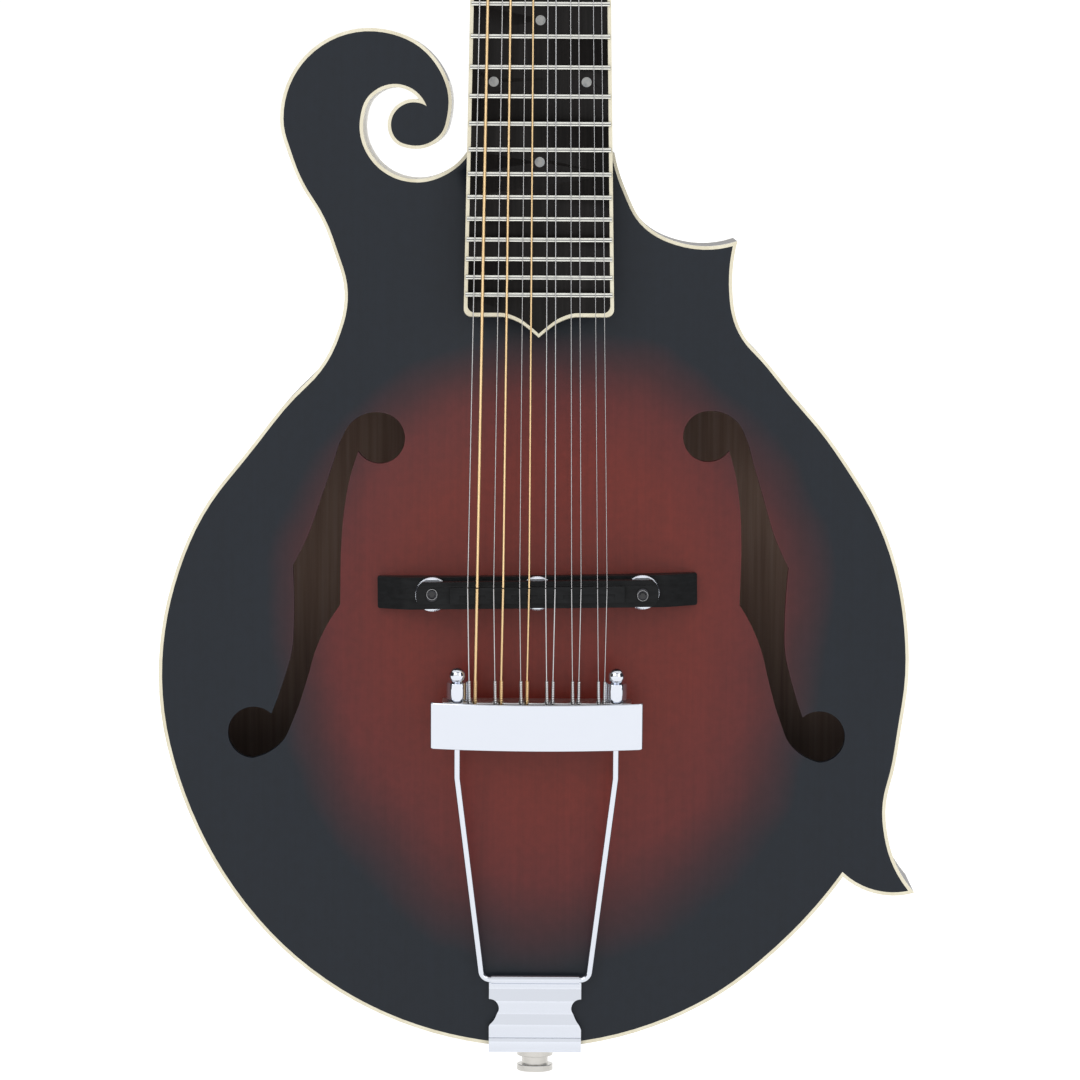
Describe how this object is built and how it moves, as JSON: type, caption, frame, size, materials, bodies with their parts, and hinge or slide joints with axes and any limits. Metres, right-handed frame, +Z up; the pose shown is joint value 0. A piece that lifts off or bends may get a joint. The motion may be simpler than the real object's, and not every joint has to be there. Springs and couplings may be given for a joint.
{
  "type": "mandolin",
  "caption": "Scroll-bodied mandolin with paired strings, carved top with f-holes, wheel-adjusted bridge, hinged trapeze tailpiece and geared tuners.",
  "frame": {"origin": "where the strap button's axis meets the outside of the tail, in the plane of the ribs' front edge", "axes": "+Z up the neck from tail to headstock, the carved top faces -Y, +X to the treble side"},
  "size_m": [0.2756, 0.1143, 0.7031],
  "materials": {
    "spruce": "satin dark sunburst lacquer",
    "maple": "satin dark stain",
    "inner_wood": "bare",
    "ivory_binding": "aged ivory, polished",
    "ebony": "oiled",
    "steel": "plain",
    "nickel_silver": "polished",
    "pearl": "pearl",
    "bone": "polished bone",
    "black_plastic": "gloss",
    "screw_nickel": "nickel plate",
    "chrome": "polished chrome plate",
    "post_steel": "turned",
    "nickel": "nickel plate, slightly dulled",
    "plain_string": "drawn wire",
    "wound_string": "phosphor bronze wrap"
  },
  "bodies": {
    "root": {"top_plate": "spruce", "back_plate": "maple", "ribs": "maple", "linings": "inner_wood", "neck_block": "inner_wood", "end_blocks": "inner_wood", "tone_bars": "spruce", "top_binding": "ivory_binding", "back_binding": "ivory_binding", "neck": "maple", "heel_cap": "ebony", "truss_rod": "steel", "fretboard": "ebony", "neck_binding": "ivory_binding", "frets": "nickel_silver", "position_dots": "pearl", "nut": "bone", "headstock_veneer": "ebony", "truss_rod_cover": "black_plastic", "cover_screws": "screw_nickel", "tuner_housings": "chrome", "bridge_base": "ebony", "bridge_posts": "post_steel", "tailpiece_hanger": "chrome", "strap_button": "nickel", "plain_strings": "plain_string", "wound_strings": "wound_string"},
    "tailpiece": {"trapeze_rods": "chrome", "string_bar": "post_steel", "tailpiece_cover": "chrome", "acorn_nuts": "chrome", "string_tails": "plain_string"},
    "saddle": {"bridge_saddle": "ebony"},
    "wheel_bass": {"thumbwheel_bass": "chrome"},
    "wheel_middle": {"thumbwheel_middle": "chrome"},
    "wheel_treble": {"thumbwheel_treble": "chrome"},
    "post_01": {"tuner_post_01": "chrome"},
    "button_01": {"tuner_button_01": "chrome"},
    "post_02": {"tuner_post_02": "chrome"},
    "button_02": {"tuner_button_02": "chrome"},
    "post_03": {"tuner_post_03": "chrome"},
    "button_03": {"tuner_button_03": "chrome"},
    "post_04": {"tuner_post_04": "chrome"},
    "button_04": {"tuner_button_04": "chrome"},
    "post_05": {"tuner_post_05": "chrome"},
    "button_05": {"tuner_button_05": "chrome"},
    "post_06": {"tuner_post_06": "chrome"},
    "button_06": {"tuner_button_06": "chrome"},
    "post_07": {"tuner_post_07": "chrome"},
    "button_07": {"tuner_button_07": "chrome"},
    "post_08": {"tuner_post_08": "chrome"},
    "button_08": {"tuner_button_08": "chrome"},
    "post_09": {"tuner_post_09": "chrome"},
    "button_09": {"tuner_button_09": "chrome"},
    "post_10": {"tuner_post_10": "chrome"},
    "button_10": {"tuner_button_10": "chrome"},
    "post_11": {"tuner_post_11": "chrome"},
    "button_11": {"tuner_button_11": "chrome"},
    "post_12": {"tuner_post_12": "chrome"},
    "button_12": {"tuner_button_12": "chrome"}
  },
  "joints": [
    {"name": "saddle_height", "type": "slide", "parent": "root", "child": "saddle", "axis": [0, -1, 0], "range_m": [-0.0015, 0.0015], "deforming": ["plain_strings", "wound_strings"]},
    {"name": "wheel_bass_turn", "type": "hinge", "parent": "saddle", "child": "wheel_bass", "pos_m": [-0.0378, -0.0242, 0.16761], "axis": [0, -1, 0], "range_deg": [-771, 771]},
    {"name": "wheel_middle_turn", "type": "hinge", "parent": "saddle", "child": "wheel_middle", "pos_m": [0, -0.0242, 0.1682], "axis": [0, -1, 0], "range_deg": [-771, 771]},
    {"name": "wheel_treble_turn", "type": "hinge", "parent": "saddle", "child": "wheel_treble", "pos_m": [0.0378, -0.0242, 0.16879], "axis": [0, -1, 0], "range_deg": [-771, 771]},
    {"name": "tailpiece_hinge", "type": "hinge", "parent": "root", "child": "tailpiece", "pos_m": [0, -0.0074, 0.0254], "axis": [1, 0, 0], "range_deg": [-0.58, 0.58]},
    {"name": "tuner_01_turn", "type": "hinge", "parent": "root", "child": "button_01", "pos_m": [-0.022, 0.03609, 0.56162], "axis": [-1, 0, 0], "continuous": true},
    {"name": "post_01_turn", "type": "hinge", "parent": "root", "child": "post_01", "pos_m": [-0.022, 0.01623, 0.56092], "axis": [0, -0.9478, 0.319], "continuous": true},
    {"name": "tuner_02_turn", "type": "hinge", "parent": "root", "child": "button_02", "pos_m": [-0.022, 0.04358, 0.58389], "axis": [-1, 0, 0], "continuous": true},
    {"name": "post_02_turn", "type": "hinge", "parent": "root", "child": "post_02", "pos_m": [-0.022, 0.02372, 0.58319], "axis": [0, -0.9478, 0.319], "continuous": true},
    {"name": "tuner_03_turn", "type": "hinge", "parent": "root", "child": "button_03", "pos_m": [-0.022, 0.05108, 0.60617], "axis": [-1, 0, 0], "continuous": true},
    {"name": "post_03_turn", "type": "hinge", "parent": "root", "child": "post_03", "pos_m": [-0.022, 0.03122, 0.60546], "axis": [0, -0.9478, 0.319], "continuous": true},
    {"name": "tuner_04_turn", "type": "hinge", "parent": "root", "child": "button_04", "pos_m": [-0.022, 0.05858, 0.62844], "axis": [-1, 0, 0], "continuous": true},
    {"name": "post_04_turn", "type": "hinge", "parent": "root", "child": "post_04", "pos_m": [-0.022, 0.03871, 0.62774], "axis": [0, -0.9478, 0.319], "continuous": true},
    {"name": "tuner_05_turn", "type": "hinge", "parent": "root", "child": "button_05", "pos_m": [-0.022, 0.06607, 0.65071], "axis": [-1, 0, 0], "continuous": true},
    {"name": "post_05_turn", "type": "hinge", "parent": "root", "child": "post_05", "pos_m": [-0.022, 0.04621, 0.65001], "axis": [0, -0.9478, 0.319], "continuous": true},
    {"name": "tuner_06_turn", "type": "hinge", "parent": "root", "child": "button_06", "pos_m": [-0.022, 0.07357, 0.67298], "axis": [-1, 0, 0], "continuous": true},
    {"name": "post_06_turn", "type": "hinge", "parent": "root", "child": "post_06", "pos_m": [-0.022, 0.05371, 0.67228], "axis": [0, -0.9478, 0.319], "continuous": true},
    {"name": "tuner_07_turn", "type": "hinge", "parent": "root", "child": "button_07", "pos_m": [0.022, 0.03609, 0.56162], "axis": [1, 0, 0], "continuous": true},
    {"name": "post_07_turn", "type": "hinge", "parent": "root", "child": "post_07", "pos_m": [0.022, 0.01623, 0.56092], "axis": [0, -0.9478, 0.319], "continuous": true},
    {"name": "tuner_08_turn", "type": "hinge", "parent": "root", "child": "button_08", "pos_m": [0.022, 0.04358, 0.58389], "axis": [1, 0, 0], "continuous": true},
    {"name": "post_08_turn", "type": "hinge", "parent": "root", "child": "post_08", "pos_m": [0.022, 0.02372, 0.58319], "axis": [0, -0.9478, 0.319], "continuous": true},
    {"name": "tuner_09_turn", "type": "hinge", "parent": "root", "child": "button_09", "pos_m": [0.022, 0.05108, 0.60617], "axis": [1, 0, 0], "continuous": true},
    {"name": "post_09_turn", "type": "hinge", "parent": "root", "child": "post_09", "pos_m": [0.022, 0.03122, 0.60546], "axis": [0, -0.9478, 0.319], "continuous": true},
    {"name": "tuner_10_turn", "type": "hinge", "parent": "root", "child": "button_10", "pos_m": [0.022, 0.05858, 0.62844], "axis": [1, 0, 0], "continuous": true},
    {"name": "post_10_turn", "type": "hinge", "parent": "root", "child": "post_10", "pos_m": [0.022, 0.03871, 0.62774], "axis": [0, -0.9478, 0.319], "continuous": true},
    {"name": "tuner_11_turn", "type": "hinge", "parent": "root", "child": "button_11", "pos_m": [0.022, 0.06607, 0.65071], "axis": [1, 0, 0], "continuous": true},
    {"name": "post_11_turn", "type": "hinge", "parent": "root", "child": "post_11", "pos_m": [0.022, 0.04621, 0.65001], "axis": [0, -0.9478, 0.319], "continuous": true},
    {"name": "tuner_12_turn", "type": "hinge", "parent": "root", "child": "button_12", "pos_m": [0.022, 0.07357, 0.67298], "axis": [1, 0, 0], "continuous": true},
    {"name": "post_12_turn", "type": "hinge", "parent": "root", "child": "post_12", "pos_m": [0.022, 0.05371, 0.67228], "axis": [0, -0.9478, 0.319], "continuous": true}
  ],
  "couplings": [
    {"joint": "saddle_height", "follows": "wheel_middle_turn", "m_per_rad": 0.00011141},
    {"joint": "wheel_bass_turn", "follows": "wheel_middle_turn", "ratio": 1},
    {"joint": "wheel_treble_turn", "follows": "wheel_middle_turn", "ratio": 1},
    {"joint": "tailpiece_hinge", "follows": "wheel_middle_turn", "ratio": 0.00073976},
    {"joint": "post_01_turn", "follows": "tuner_01_turn", "ratio": -0.071429},
    {"joint": "post_02_turn", "follows": "tuner_02_turn", "ratio": -0.071429},
    {"joint": "post_03_turn", "follows": "tuner_03_turn", "ratio": -0.071429},
    {"joint": "post_04_turn", "follows": "tuner_04_turn", "ratio": -0.071429},
    {"joint": "post_05_turn", "follows": "tuner_05_turn", "ratio": -0.071429},
    {"joint": "post_06_turn", "follows": "tuner_06_turn", "ratio": -0.071429},
    {"joint": "post_07_turn", "follows": "tuner_07_turn", "ratio": 0.071429},
    {"joint": "post_08_turn", "follows": "tuner_08_turn", "ratio": 0.071429},
    {"joint": "post_09_turn", "follows": "tuner_09_turn", "ratio": 0.071429},
    {"joint": "post_10_turn", "follows": "tuner_10_turn", "ratio": 0.071429},
    {"joint": "post_11_turn", "follows": "tuner_11_turn", "ratio": 0.071429},
    {"joint": "post_12_turn", "follows": "tuner_12_turn", "ratio": 0.071429}
  ]
}
